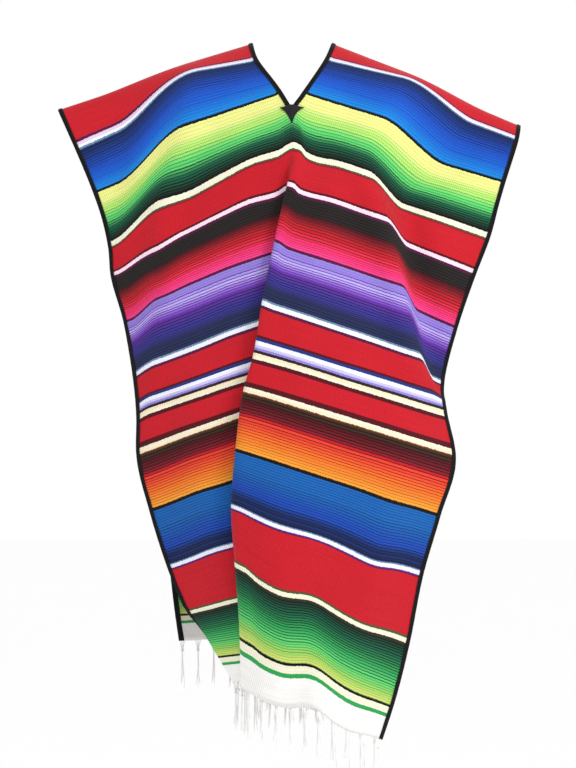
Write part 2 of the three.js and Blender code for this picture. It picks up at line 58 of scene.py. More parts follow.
# ---- How each row of the cloth hangs ----
# left and right: where the side edges hang. left_mid and right_mid: where the middle would
# lie if that half ran on straight. tuck and lap: where across the cloth turns under and back
# over, and tuck_turn and lap_turn how wide those turns are. belly, left_out, right_out: how
# far the middle and the edges stand out.
ROW_COLUMNS = ("along left_x left_z left_mid_x left_mid_z right_x right_z right_mid_x right_mid_z "
               "tuck lap tuck_turn lap_turn belly left_out right_out").split()
FRONT_ROWS = [
    (0, -376, -102, -65, 5, 366, -128, 64, 5, 0, 0, 11, 11, 0, 0, 0),
    (48, -348, -164, -58, -19, 362, -149, 54, -19, 0, 0, 11, 11, 43, 35, 35),
    (134, -316, -242, -14, -82, 338, -226, 13, -82, 0, 0, 11, 11, 83, 48, 48),
    (160, -308, -265, -2, -105, 331, -250, -2, -105, 0, 0, 11, 11, 91, 50, 50),
    (222, -295, -320, 2, -165, 316, -306, 2, -165, 0, 0, 11, 11, 106, 54, 54),
    (283, -291, -366, 8, -227, 294, -363, -7, -223, -13, 0, 11, 11, 117, 54, 54),
    (379, -270, -443, 30, -307, 263, -453, -24, -320, -42, -3, 11, 11, 128, 53, 48),
    (474, -255, -531, 49, -405, 242, -541, -41, -416, -64, -10, 11, 11, 134, 53, 43),
    (555, -249, -598, 60, -483, 246, -587, -49, -498, -80, -16, 11, 11, 138, 58, 48),
    (616, -249, -656, 61, -543, 260, -658, -60, -558, -93, -19, 11, 13, 139, 61, 58),
    (712, -228, -741, 86, -638, 235, -754, -80, -652, -110, -13, 11, 16, 141, 67, 67),
    (806, -200, -829, 116, -732, 208, -846, -103, -734, -120, 2, 11, 21, 142, 70, 70),
    (912, -169, -906, 151, -827, 186, -955, -119, -824, -122, 24, 11, 26, 144, 74, 74),
    (1024, -129, -981, 198, -936, 159, -1059, -146, -930, -122, 62, 11, 29, 146, 77, 77),
    (1078, -105, -1022, 222, -978, 142, -1110, -164, -1007, -122, 83, 11, 29, 146, 77, 77),
]
BACK_ROWS = [
    (0, -376, -102, -65, 5, 366, -128, 64, 5, 0, 0, 11, 11, 0, 0, 0),
    (48, -346, -157, -58, -19, 357, -149, 54, -19, 0, 0, 11, 11, 39, 35, 35),
    (134, -313, -229, -14, -82, 334, -226, 13, -82, 0, 0, 11, 11, 75, 48, 48),
    (160, -304, -250, -2, -105, 327, -250, -2, -105, 0, 0, 11, 11, 82, 50, 50),
    (222, -289, -301, 8, -152, 311, -306, 2, -165, 0, 0, 11, 11, 95, 54, 54),
    (283, -281, -341, 18, -209, 289, -363, -7, -223, -13, 0, 11, 11, 105, 54, 54),
    (379, -263, -408, 37, -282, 258, -453, -24, -320, -42, -3, 11, 11, 115, 53, 48),
    (474, -247, -488, 57, -372, 238, -541, -41, -416, -64, -10, 11, 11, 121, 53, 43),
    (555, -239, -549, 70, -447, 241, -587, -49, -498, -80, -16, 11, 11, 124, 58, 48),
    (616, -236, -597, 74, -510, 255, -658, -60, -558, -93, -19, 11, 13, 125, 61, 58),
    (712, -222, -677, 92, -608, 230, -754, -80, -652, -110, -13, 11, 16, 127, 67, 67),
    (806, -207, -763, 108, -719, 203, -846, -103, -734, -120, 2, 11, 21, 128, 70, 70),
    (912, -198, -834, 122, -814, 181, -955, -119, -824, -122, 24, 11, 26, 130, 74, 74),
    (1024, -188, -917, 140, -910, 154, -1059, -146, -930, -122, 62, 11, 29, 131, 77, 77),
    (1078, -182, -958, 150, -962, 137, -1110, -164, -1007, -122, 83, 11, 29, 131, 77, 77),
]

# ---- The long creases that fall from the shoulders ----
CREASE_COLUMNS = "along at lift sink spread proud".split()
LEFT_CREASE = [
    (0, 0.55, 13, 4, 0.5, 0),
    (48, 0.53, 90, 13, 0.46, 4),
    (134, 0.7, 56, 38, 0.36, 9),
    (222, 0.84, 35, 20, 0.26, 10),
    (283, 0.86, 30, 16, 0.22, 10),
    (379, 0.87, 20, 25, 0.18, 10),
    (474, 0.95, 11, 4, 0.2, 6),
    (555, 0.98, 8, 0, 0.15, 2),
    (616, 1, 0, 0, 0.15, 0),
    (1078, 1, 0, 0, 0.15, 0),
]
RIGHT_CREASE = [
    (0, 0.6, 16, 5, 0.45, 0),
    (48, 0.57, 54, 14, 0.38, 5),
    (134, 0.53, 42, 45, 0.33, 10),
    (222, 0.452, 32, 32, 0.18, 12),
    (283, 0.562, 34, 20, 0.12, 13),
    (379, 0.73, 37, 10, 0.09, 14),
    (474, 0.9, 32, 5, 0.08, 9),
    (555, 1, 0, 0, 0.12, 2),
    (616, 1, 0, 0, 0.12, 0),
    (1078, 1, 0, 0, 0.12, 0),
]
BACK_CREASE_SHARE = 0.8
BACK_CREASE_SHIFT = -0.06

# ---- Soft troughs and ridges ----
RIPPLE_COLUMNS = "side at start full stop out up wide".split()
FRONT_RIPPLES = [
    (1, 0, 110, 230, 560, 0, 7, 0.02),
    (1, 0.08, 120, 215, 420, 0, -6, 0.09),
    (-1, 0, 110, 230, 560, 0, 4.4, 0.03),
    (-1, 0.2, 150, 240, 400, 0, 7, 0.13),
    (-1, 0.55, 150, 230, 380, 0, -6, 0.12),
    (-1, 0.76, 200, 290, 420, 0, -16, 0.13),
    (1, 0, 760, 920, 1300, 0, 5, 0.05),
    (-1, 0, 760, 920, 1300, 0, 5, 0.03),
    (1, 0.4, 780, 1000, 1300, 0, 10, 0.13),
    (1, 0.74, 640, 790, 1000, 0, -5, 0.1),
    (1, 0.2, 690, 900, 1120, 6, -10, 0.17),
    (1, 0.66, 690, 850, 1010, -8, -7, 0.17),
    (1, 0.5, 950, 1090, 1300, 7, 11, 0.12),
    (1, 0.76, 950, 1090, 1300, -5, -3, 0.1),
    (1, 0.3, 380, 600, 820, -4, 0, 0.16),
    (-1, 0.35, 240, 420, 640, -4, 2, 0.14),
    (-1, 0.62, 520, 760, 1000, 4, 3, 0.16),
]
BACK_RIPPLES = [
    (1, 0.24, 500, 820, 1150, 6, -12, 0.14),
    (1, 0.58, 420, 700, 980, -7, -8, 0.14),
    (1, 0.7, 900, 1090, 1300, 6, 6, 0.12),
    (-1, 0.4, 300, 560, 860, -6, 4, 0.15),
    (-1, 0.7, 640, 980, 1300, 5, 3, 0.15),
]
# These columns rise at once from the shoulder fold; the others start level.
RISE_AT_ONCE = {"belly", "left_out", "right_out"}
START_RISE = 1.25

# Two ridges beside each crease: their distance from it, by its spread, and their width.
RIDGE_APART, RIDGE_LEAST, RIDGE_WIDE = 0.4, 0.05, 0.1

# A row is walked across in small steps. It turns by nearly half a circle at a tuck or a
# lap, and what its length is short of or over is spread over the lap and a little past it.
WALK_POINTS = 1361
LAP_TURN = math.pi * 0.985
LAP_SPREAD = 48


def smooth(t):
    t = np.clip(t, 0.0, 1.0)
    return t * t * (3 - 2 * t)


def bell(t):
    return np.exp(-t * t)


def table(columns, rows):
    """The columns of a table by name, as arrays."""
    return {name: np.array([row[k] for row in rows], float) for k, name in enumerate(columns)}


def follow(columns, name, along, level=True):
    """A smooth line through one column; level says that it starts flat at the shoulder."""
    xs = columns["along"]
    ys = columns[name]
    spans = np.diff(xs)
    slopes = np.diff(ys) / spans
    tangents = np.empty(len(xs))
    tangents[0] = 0.0 if level else slopes[0] * START_RISE
    tangents[-1] = slopes[-1]
    tangents[1:-1] = (slopes[:-1] * spans[1:] + slopes[1:] * spans[:-1]) / (spans[:-1] + spans[1:])
    i = int(np.clip(np.searchsorted(xs, along, side="right") - 1, 0, len(xs) - 2))
    t = (along - xs[i]) / spans[i]
    return ((2 * t**3 - 3 * t**2 + 1) * ys[i] + (t**3 - 2 * t**2 + t) * spans[i] * tangents[i]
            + (3 * t**2 - 2 * t**3) * ys[i + 1] + (t**3 - t**2) * spans[i] * tangents[i + 1])


class Panel:
    """One hanging half of the cloth, in front (-1) or behind (1)."""

    def __init__(self, facing, rows, ripples, share, shift):
        self.facing = facing
        self.rows = table(ROW_COLUMNS, rows)
        self.creases = {-1: table(CREASE_COLUMNS, LEFT_CREASE), 1: table(CREASE_COLUMNS, RIGHT_CREASE)}
        self.ripples = [dict(zip(RIPPLE_COLUMNS, row)) for row in ripples]
        self.share = share
        self.shift = shift

    def shape(self, along):
        found = {name: follow(self.rows, name, along, name not in RISE_AT_ONCE)
                 for name in ROW_COLUMNS[1:]}
        if along <= SLIT_END:
            found["tuck"] = found["lap"] = 0.0
        return found

    def bend(self, side, at, along):
        """How far a row is lifted and stands out by its crease and its ripples."""
        crease = {name: follow(self.creases[side], name, along) for name in CREASE_COLUMNS[1:]}
        centre = crease["at"] + self.shift
        past = smooth((at - centre) / crease["spread"] + 0.5)
        up = (crease["lift"] * at * (1 - past) - crease["sink"] * (1 - at) * past) * self.share
        apart = crease["spread"] * RIDGE_APART + RIDGE_LEAST
        out = crease["proud"] * (bell((at - centre + apart) / RIDGE_WIDE)
                                 - bell((at - centre - apart) / RIDGE_WIDE))
        for ripple in self.ripples:
            if ripple["side"] != side:
                continue
            rise = smooth((along - ripple["start"]) / (ripple["full"] - ripple["start"]))
            fall = smooth((ripple["stop"] - along) / (ripple["stop"] - ripple["full"]))
            share = rise * fall * bell((at - ripple["at"]) / ripple["wide"])
            up = up + ripple["up"] * share
            out = out + ripple["out"] * share
        return up, out

    def row(self, along, places):
        """Points of the middle surface of one row, in millimetres."""
        s = self.shape(along)
        places = np.asarray(places, float)
        folded = s["lap"] > s["tuck"]

        def tuck_share(u):
            return smooth((u - s["tuck"] + s["tuck_turn"]) / (2 * s["tuck_turn"]))

        def lap_share(u):
            return smooth((u - s["lap"] + s["lap_turn"]) / (2 * s["lap_turn"]))

        u = np.linspace(-HALF_WIDTH, HALF_WIDTH, WALK_POINTS)
        step = u[1] - u[0]
        share = tuck_share(u) if folded else (u > 0).astype(float)
        turn = np.maximum(0, LAP_TURN * (tuck_share(u) - lap_share(u))) if folded else u * 0
        left = np.array([s["left_mid_x"] - s["left_x"], s["left_mid_z"] - s["left_z"]]) / HALF_WIDTH
        right = np.array([s["right_x"] - s["right_mid_x"], s["right_z"] - s["right_mid_z"]]) / HALF_WIDTH
        run = np.stack([
            np.cos(turn) * (left[0] + (right[0] - left[0]) * share),
            np.cos(turn) * (left[1] + (right[1] - left[1]) * share),
            np.sin(turn),
        ], axis=1)
        walk = np.vstack([np.zeros(3), np.cumsum((run[1:] + run[:-1]) / 2 * step, axis=0)])
        at = np.stack([np.interp(places, u, walk[:, k]) for k in range(3)], axis=1)
        miss = (s["right_x"] - s["left_x"] - walk[-1, 0], s["right_z"] - s["left_z"] - walk[-1, 1])
        if along < SLIT_END:
            lapped = (places > 0).astype(float)
        else:
            lapped = smooth((places - s["tuck"] + LAP_SPREAD) / (s["lap"] - s["tuck"] + 2 * LAP_SPREAD))
        x = s["left_x"] + at[:, 0] + miss[0] * lapped
        z = s["left_z"] + at[:, 1] + miss[1] * lapped
        middle = (s["left_x"] + s["right_x"]) / 2
        half = (s["right_x"] - s["left_x"]) / 2
        lean = (x - middle) / half
        edge = np.where(lean < 0, s["left_out"], s["right_out"])
        out = edge + (s["belly"] - edge) * (1 - lean**2) + at[:, 2] - walk[-1, 2] / 2
        up = np.zeros(len(places))
        for side in (-1, 1):
            chosen = (places < (s["tuck"] + s["lap"]) / 2) == (side < 0)
            inner = s["tuck"] - s["tuck_turn"] if side < 0 else s["lap"] + s["lap_turn"]
            across = np.maximum(0, side * (places - inner) / (HALF_WIDTH - side * inner))
            lift, stand = self.bend(side, across, along)
            up = up + np.where(chosen, lift, 0)
            out = out + np.where(chosen, stand, 0)
        return np.stack([x, self.facing * out, z + up], axis=1)


FRONT = Panel(-1, FRONT_ROWS, FRONT_RIPPLES, 1.0, 0.0)
BACK = Panel(1, BACK_ROWS, BACK_RIPPLES, BACK_CREASE_SHARE, BACK_CREASE_SHIFT)


def hang(along, places):
    """Points of the cloth, in metres, for one distance along it."""
    panel = BACK if along < 0 else FRONT
    points = panel.row(min(abs(along), HALF_LENGTH), places)
    beyond = abs(along) - HALF_LENGTH
    if beyond > 0:
        points[:, 2] -= beyond
    return points * MM


# Uneven waves: how often across, how often along, their own seed and their height.
SAGS = (0.006, 0.0022, 3.1, 2.6)
DENTS = (0.021, 0.011, 8.7, 0.55)
LONG_FOLDS = (0.014, 0.0018, 5.2, 9.0)
# The long folds keep away from the lap and from the shoulders, and all waves fade at the edges.
LAP_CALM, LAP_FADE = 15, 70
SHOULDER_SPAN, SHOULDER_CALM = 200, 0.4
EDGE_FADE, EDGE_LEAST = 60, 0.25


def wave_at(kind, u, along):
    often_across, often_along, seed, height = kind
    return noise.noise(Vector((u * often_across, along * often_along, seed))) * height


def soften(points, across, along):
    """Small uneven waves that a heavy woven cloth keeps when it hangs."""
    s = (BACK if along < 0 else FRONT).shape(min(abs(along), HALF_LENGTH))
    for point, u in zip(points, across):
        apart = max(s["tuck"] - u, u - s["lap"], 0.0)
        free = smooth((apart - LAP_CALM) / LAP_FADE) * smooth(abs(along) / SHOULDER_SPAN - SHOULDER_CALM)
        wave = wave_at(SAGS, u, along) + wave_at(DENTS, u, along) + wave_at(LONG_FOLDS, u, along) * free
        calm = min(1.0, (HALF_WIDTH - abs(u)) / EDGE_FADE + EDGE_LEAST)
        point[1] += float(wave * calm) * MM
    return points


def spread(start, stop, count):
    """Even steps up to stop, without start itself."""
    return np.linspace(start, stop, count + 1)[1:]


# Facets of a row from the rolled edge to the right edge, and the least width of a turn.
ROLL_FACETS, LEFT_FACETS, TURN_FACETS, LAP_FACETS, RIGHT_FACETS = 7, 41, 12, 5, 52
LEAST_TURN = 14
# Where down the left front edge the roll starts and is full, its width and its radius.
ROLL_START, ROLL_FULL, ROLL_WIDTH, ROLL_RADIUS = 896.0, 985.0, 13.0, 4.6


def column_places(along):
    """Where the columns of the cloth lie across one row: left half, then right half."""
    s = (BACK if along < 0 else FRONT).shape(min(abs(along), HALF_LENGTH))
    centre = (s["tuck"] + s["lap"]) / 2
    tuck_in = min(s["tuck"] + s["tuck_turn"], centre - TAPE_WIDTH)
    lap_in = max(s["lap"] - s["lap_turn"], centre + TAPE_WIDTH)
    tuck_out = min(s["tuck"] - s["tuck_turn"], tuck_in - LEAST_TURN)
    lap_out = max(s["lap"] + s["lap_turn"], lap_in + LEAST_TURN)
    left = np.concatenate([
        [-HALF_WIDTH], spread(-HALF_WIDTH, ROLL_WIDTH - HALF_WIDTH, ROLL_FACETS),
        spread(ROLL_WIDTH - HALF_WIDTH, tuck_out, LEFT_FACETS),
        spread(tuck_out, tuck_in, TURN_FACETS), spread(tuck_in, centre, LAP_FACETS)])
    right = np.concatenate([
        [centre], spread(centre, lap_in, LAP_FACETS),
        spread(lap_in, lap_out, TURN_FACETS), spread(lap_out, HALF_WIDTH, RIGHT_FACETS)])
    if abs(along) < SLIT_END:
        left[-1] -= HAIR
        right[0] += HAIR
    return left, right


ROWS_EACH_WAY = 150
NECK_ROWS = 30


def row_stops():
    """Distances along the cloth, closer together at the shoulder fold, one at each slit end."""
    neck = np.linspace(0, SLIT_END, NECK_ROWS + 1)
    rest = spread(SLIT_END, HALF_LENGTH, ROWS_EACH_WAY - NECK_ROWS)
    way = np.concatenate([neck, rest])
    return np.concatenate([-way[:0:-1], way])


# ---- Mesh helpers ----
# Points closer than this, in metres, become one: at the seam of a yarn, over the cloth.
YARN_WELD, CLOTH_WELD = 1e-7, 2e-7


def new_piece(name, bm, material, smooth_shaded=True):
    mesh = bpy.data.meshes.new(name)
    bm.to_mesh(mesh)
    bm.free()
    piece = bpy.data.objects.new(name, mesh)
    bpy.context.scene.collection.objects.link(piece)
    mesh.polygons.foreach_set("use_smooth", [smooth_shaded] * len(mesh.polygons))
    mesh.materials.append(material)
    return piece


def grid(bm, points, uvs, closed=False):
    """A grid of faces through rows of points, with its own UV values; closed joins its sides."""
    rows, columns = points.shape[:2]
    made = bmesh.ops.create_grid(bm, x_segments=columns - 1, y_segments=rows - 1, size=0.5)["verts"]
    layer = bm.loops.layers.uv.get("UVMap") or bm.loops.layers.uv.new("UVMap")
    spot = {}
    for vert in made:
        i = round((vert.co.x + 0.5) * (columns - 1))
        j = round((vert.co.y + 0.5) * (rows - 1))
        spot[vert] = (j, i)
    faces = {face for vert in made for face in vert.link_faces}
    for face in faces:
        for loop in face.loops:
            loop[layer].uv = uvs[spot[loop.vert]]
    for vert in made:
        vert.co = points[spot[vert]]
    if closed:
        edge = [vert for vert in made if spot[vert][1] in (0, columns - 1)]
        bmesh.ops.remove_doubles(bm, verts=edge, dist=YARN_WELD)
        made = [vert for vert in made if vert.is_valid]
    return made


# How wide the surface of a yarn is taken to be, once round, and a direction that no yarn follows.
YARN_ROUND = 0.004
ASLANT = (0.31, 0.77, 0.12)


def tube(bm, path, radii, sides):
    """A closed round tube through the points of a path."""
    path = np.asarray(path, float)
    heading = np.gradient(path, axis=0)
    heading /= np.linalg.norm(heading, axis=1)[:, None]
    aside = np.cross(heading, ASLANT)
    aside /= np.linalg.norm(aside, axis=1)[:, None]
    other = np.cross(heading, aside)
    angles = np.linspace(0, 2 * math.pi, sides + 1)[None, :, None]
    radii = np.broadcast_to(radii, len(path))[:, None, None]
    points = path[:, None] + radii * (np.cos(angles) * aside[:, None] + np.sin(angles) * other[:, None])
    points[:, -1] = points[:, 0]
    far = np.concatenate([[0], np.cumsum(np.linalg.norm(np.diff(path, axis=0), axis=1))])
    uvs = np.stack(np.meshgrid(np.linspace(0, YARN_ROUND, sides + 1), far), axis=2)
    made = grid(bm, points, uvs, closed=True)
    rims = [edge for edge in {e for v in made for e in v.link_edges} if edge.is_boundary]
    bmesh.ops.holes_fill(bm, edges=rims, sides=sides)


# ---- Colours of the yarn, as sRGB ----
YARN = {
    "red": (196, 26, 40), "wine": (140, 24, 38), "maroon": (84, 14, 24), "vermilion": (232, 66, 42),
    "orange": (244, 116, 36), "amber": (248, 160, 50), "navy": (20, 40, 92), "night": (18, 22, 40),
    "royal": (26, 74, 180), "azure": (24, 136, 222), "cobalt": (24, 96, 206),
    "lake blue": (22, 102, 176), "mid blue": (26, 64, 148), "black": (14, 12, 14),
    "pale yellow": (232, 236, 144), "straw": (222, 218, 116), "lime": (180, 226, 112),
    "leaf": (98, 208, 108), "green": (48, 160, 84), "bottle": (22, 98, 68), "forest": (20, 50, 36),
    "cream": (240, 238, 212), "white": (238, 240, 250), "lilac white": (226, 200, 226),
    "meadow": (128, 190, 84), "grass": (164, 206, 96), "lilac": (186, 172, 238),
    "pink white": (252, 222, 238), "plum": (84, 20, 62), "charcoal": (40, 34, 34),
    "scarlet": (226, 44, 72), "hot pink": (250, 66, 146), "rose": (240, 52, 112),
    "lavender": (146, 130, 214), "mauve": (128, 84, 196), "violet": (96, 48, 156),
    "indigo": (60, 54, 150), "dusk": (30, 52, 128), "slate": (38, 46, 86), "ice": (202, 196, 232),
    "sand": (250, 228, 196), "brown": (112, 66, 38), "umber": (66, 40, 26), "haze": (104, 132, 166),
    "undyed": (247, 245, 242),
}


def plain(until, yarn):
    """A band of one yarn, as a row of the table below."""
    return until, yarn, yarn, 1, None, 0


# The woven bands from the shoulder fold to the hem, alike in front and behind.
# until: where the band ends. first, last: its yarns, shaded from one to the other in
# steps. line: the thin yarn that parts the steps, and how much of each step it takes.
BANDS = [
    plain(40, "red"), plain(43, "plum"), (50, "lilac white", "white", 2, None, 0),
    plain(53, "haze"), (84, "navy", "royal", 8, "night", 0.26),
    (104, "royal", "cobalt", 5, "mid blue", 0.26), (124, "cobalt", "azure", 5, "lake blue", 0.3),
    plain(128, "black"), (144, "pale yellow", "pale yellow", 3, "straw", 0.3),
    (160, "pale yellow", "lime", 4, "meadow", 0.26), (180, "lime", "leaf", 4, "green", 0.34),
    (197, "leaf", "bottle", 4, "forest", 0.38), (214, "bottle", "forest", 4, "black", 0.45),
    plain(217, "black"), plain(226, "cream"), plain(228, "bottle"), plain(231, "wine"),
    plain(276, "red"), plain(280, "maroon"), plain(287, "pink white"), plain(291, "plum"),
    (318, "charcoal", "charcoal", 6, "black", 0.3), (340, "maroon", "red", 5, "charcoal", 0.26),
    (354, "red", "scarlet", 3, "maroon", 0.26), (362, "scarlet", "rose", 2, "wine", 0.24),
    (376, "rose", "hot pink", 4, "wine", 0.22), plain(380, "plum"),
    (388, "lavender", "lavender", 2, "mauve", 0.2), (402, "lavender", "lilac", 3, "violet", 0.34),
    (417, "lilac", "mauve", 4, "violet", 0.5), (438, "violet", "indigo", 5, "night", 0.3),
    (454, "indigo", "slate", 5, "night", 0.3), (468, "slate", "slate", 3, "night", 0.3),
    plain(471, "haze"), plain(478, "white"), plain(483, "plum"), plain(524, "red"),
    plain(528, "maroon"), plain(533, "dusk"), plain(540, "white"),
    (548, "ice", "lavender", 2, None, 0), plain(553, "charcoal"),
    (562, "sand", "cream", 2, None, 0), plain(568, "maroon"), plain(599, "red"),
    plain(607, "maroon"), (616, "cream", "sand", 2, None, 0), plain(618, "brown"),
    (628, "umber", "umber", 2, "black", 0.4), (650, "maroon", "wine", 5, "black", 0.34),
    (660, "red", "vermilion", 2, "maroon", 0.26), (682, "vermilion", "orange", 5, "wine", 0.24),
    (708, "orange", "amber", 6, "brown", 0.2), plain(713, "black"),
    (738, "lake blue", "lake blue", 6, "mid blue", 0.34),
    (772, "lake blue", "royal", 8, "navy", 0.3), (790, "royal", "navy", 4, "night", 0.3),
    (801, "navy", "night", 3, "dusk", 0.3), plain(803, "haze"), plain(809, "white"),
    (813, "violet", "plum", 2, None, 0), plain(903, "red"), plain(905, "brown"),
    plain(907, "bottle"), plain(915, "cream"), plain(918, "umber"),
    (940, "forest", "bottle", 5, "black", 0.45), (966, "bottle", "green", 6, "forest", 0.42),
    (990, "green", "leaf", 5, "bottle", 0.4), (1006, "leaf", "grass", 4, "green", 0.38),
    (1021, "grass", "straw", 4, "meadow", 0.34), plain(1025, "black"), plain(1035, "cream"),
    plain(1041, "green"), plain(1080, "undyed"),
]
# A ramp takes this many stops, and a thin line keeps this share of its own colour.
MOST_STOPS = 30
LINE_STRENGTH = 0.85


def linear(colour):
    """An sRGB colour, 0 to 255, as the linear values of a shader."""
    def channel(value):
        value /= 255
        return value / 12.92 if value <= 0.04045 else ((value + 0.055) / 1.055) ** 2.4
    return (*[channel(value) for value in colour], 1.0)


def band_stops():
    """Every change of yarn down the cloth: where it starts, in metres, and its colour."""
    stops = []
    start = 0.0
    for until, first, last, steps, line, share in BANDS:
        begin, end = np.array(YARN[first], float), np.array(YARN[last], float)
        length = (until - start) / steps
        for k in range(steps):
            ground = begin + (end - begin) * (k / max(1, steps - 1))
            stops.append(((start + k * length) * MM, tuple(ground)))
            if line:
                thin = np.array(YARN[line], float) * LINE_STRENGTH + ground * (1 - LINE_STRENGTH)
                stops.append(((start + (k + 1 - share) * length) * MM, tuple(thin)))
        start = until
    return stops


# ---- Material helpers ----
def new_material(name):
    material = bpy.data.materials.new(name)
    material.use_nodes = True
    nodes, links = material.node_tree.nodes, material.node_tree.links
    return material, nodes, links, nodes["Principled BSDF"]


def wire(links, value, socket):
    """Join a socket to another, or set it to a plain value."""
    if isinstance(value, bpy.types.NodeSocket):
        links.new(value, socket)
    else:
        socket.default_value = value


def sums(nodes, links, operation, a, b=0.0, c=0.0):
    node = nodes.new("ShaderNodeMath")
    node.operation = operation
    for value, socket in zip((a, b, c), node.inputs):
        wire(links, value, socket)
    return node.outputs[0]


def blend(nodes, links, kind, share, a, b):
    node = nodes.new("ShaderNodeMix")
    node.data_type = "RGBA"
    node.blend_type = kind
    wire(links, share, node.inputs["Factor"])
    wire(links, a, node.inputs[6])
    wire(links, b, node.inputs[7])
    return node.outputs[2]


def rough_noise(nodes, links, vector, scale, stretch, detail):
    """Noise over a surface, stretched by a factor on each axis."""
    mapping = nodes.new("ShaderNodeMapping")
    set_values(mapping, Scale=stretch)
    links.new(vector, mapping.inputs["Vector"])
    node = nodes.new("ShaderNodeTexNoise")
    set_values(node, Scale=scale, Detail=detail)
    links.new(mapping.outputs[0], node.inputs["Vector"])
    return node.outputs["Fac"]


def bump(nodes, links, height, strength, distance, normal=None):
    node = nodes.new("ShaderNodeBump")
    set_values(node, Strength=strength, Distance=distance)
    links.new(height, node.inputs["Height"])
    if normal:
        links.new(normal, node.inputs["Normal"])
    return node.outputs["Normal"]


def split(nodes, links, vector):
    """The parts of a vector, by name."""
    node = nodes.new("ShaderNodeSeparateXYZ")
    links.new(vector, node.inputs[0])
    return node.outputs


def set_values(node, **values):
    for name, value in values.items():
        node.inputs[name.replace("_", " ")].default_value = value


def new_group(name, values, results):
    """A node group from a surface and some values to its results, with both its ends."""
    group = bpy.data.node_groups.new(name, "ShaderNodeTree")
    face = group.interface
    face.new_socket("Surface", in_out="INPUT", socket_type="NodeSocketVector")
    for value in values:
        face.new_socket(value, in_out="INPUT", socket_type="NodeSocketFloat")
    for result in results:
        face.new_socket(result, in_out="OUTPUT", socket_type="NodeSocketFloat")
    nodes, links = group.nodes, group.links
    return group, nodes, links, nodes.new("NodeGroupInput"), nodes.new("NodeGroupOutput")


# How rough noise wanders over a surface: its scale, its stretch on each axis, its detail.
THREAD_WANDER = (60.0, (1, 1, 1), 1.0)
BAND_WANDER, THREAD_JUMPS = (1.0, (5.0, 14.0, 1.0), 1.0), (1.0, (420.0, 90.0, 1.0), 0.0)
STREAKS, CLOUDS = (1.0, (9.0, 900.0, 1.0), 1.0), (1.0, (7.0, 7.0, 1.0), 3.0)
# Each pair below is a factor and what is added to its product.
# The rib shade is painted shade: the cloth is darker in the hollows between threads and lighter on the
# ribs.
HALF_WAVE, RIB_HEIGHT, RIB_PAINTED_SHADE = (0.5, 0.5), (0.55, 0.45), (0.26, 0.82)
STREAK_TONE, CLOUD_TONE, FLECK_TONE = (0.36, 0.68), (0.12, 0.94), (0.3, 0.98)
CLOTH_ROUGH, TAPE_ROUGH = (0.12, 0.84), (0.2, 0.68)
TACK_ROUGH, YARN_ROUGH = (0.2, 0.42), (0.1, 0.84)
WARP_STRAY = 0.35
FLECK_FROM, FLECK_GAIN = 0.56, 3.0
# Each pair below is the strength and the distance of a bump, in metres.
WEAVE_BUMP, SLUB_BUMP, NAP_BUMP = (0.55, 0.0006), (0.30, 0.0006), (0.25, 0.0003)
TAPE_BUMP, TACK_BUMP, YARN_BUMP = (0.6, 0.0005), (0.8, 0.0006), (0.7, 0.0004)


def weave_group():
    """Thread height of a plain weave: ribs over the warp, crossed by packed weft threads, and a painted
    shade that darkens the hollows between them.
    """
    group, nodes, links, into, out = new_group(
        "packed_weave", ["Warp Pitch", "Weft Pitch"], ["Height", "Shade"])
    calc = partial(sums, nodes, links)
    parts = split(nodes, links, into.outputs["Surface"])
    wander = rough_noise(nodes, links, into.outputs["Surface"], *THREAD_WANDER)
    warp = calc("DIVIDE", parts["X"], into.outputs["Warp Pitch"])
    warp = calc("MULTIPLY_ADD", wander, WARP_STRAY, warp)
    weft = calc("DIVIDE", parts["Y"], into.outputs["Weft Pitch"])
    shift = calc("MULTIPLY", calc("FLOOR", warp), 0.5)
    rib = calc("ABSOLUTE", calc("SINE", calc("MULTIPLY", warp, math.pi)))
    turned = calc("MULTIPLY", calc("ADD", weft, shift), 2 * math.pi)
    thread = calc("MULTIPLY_ADD", calc("SINE", turned), *HALF_WAVE)
    height = calc("MULTIPLY", rib, calc("MULTIPLY_ADD", thread, *RIB_HEIGHT))
    links.new(height, out.inputs["Height"])
    # The Shade result is painted shade, darker in the hollows between the threads.
    links.new(calc("MULTIPLY_ADD", height, *RIB_PAINTED_SHADE), out.inputs["Shade"])
    return group


def nap_group():
    """Loose fibre on a yarn surface: a fine uneven height and a pale fleck mask."""
    group, nodes, links, into, out = new_group("loose_fibre", ["Fineness"], ["Height", "Fleck"])
    calc = partial(sums, nodes, links)
    fibre = nodes.new("ShaderNodeTexNoise")
    set_values(fibre, Detail=3.0, Distortion=1.2)
    links.new(into.outputs["Surface"], fibre.inputs["Vector"])
    links.new(into.outputs["Fineness"], fibre.inputs["Scale"])
    links.new(fibre.outputs["Fac"], out.inputs["Height"])
    fleck = calc("SUBTRACT", fibre.outputs["Fac"], FLECK_FROM)
    node = nodes.new("ShaderNodeClamp")
    links.new(calc("MULTIPLY", fleck, FLECK_GAIN), node.inputs[0])
    links.new(node.outputs[0], out.inputs["Fleck"])
    return group


WEAVE = weave_group()
NAP = nap_group()


def place_group(nodes, links, group, surface, **values):
    node = nodes.new("ShaderNodeGroup")
    node.node_tree = group
    links.new(surface, node.inputs["Surface"])
    set_values(node, **values)
    return node


def uv_of(nodes):
    node = nodes.new("ShaderNodeUVMap")
    node.uv_map = "UVMap"
    return node.outputs["UV"]


# The last ramp runs this far past the hem, in metres.
PAST_HEM = 0.01


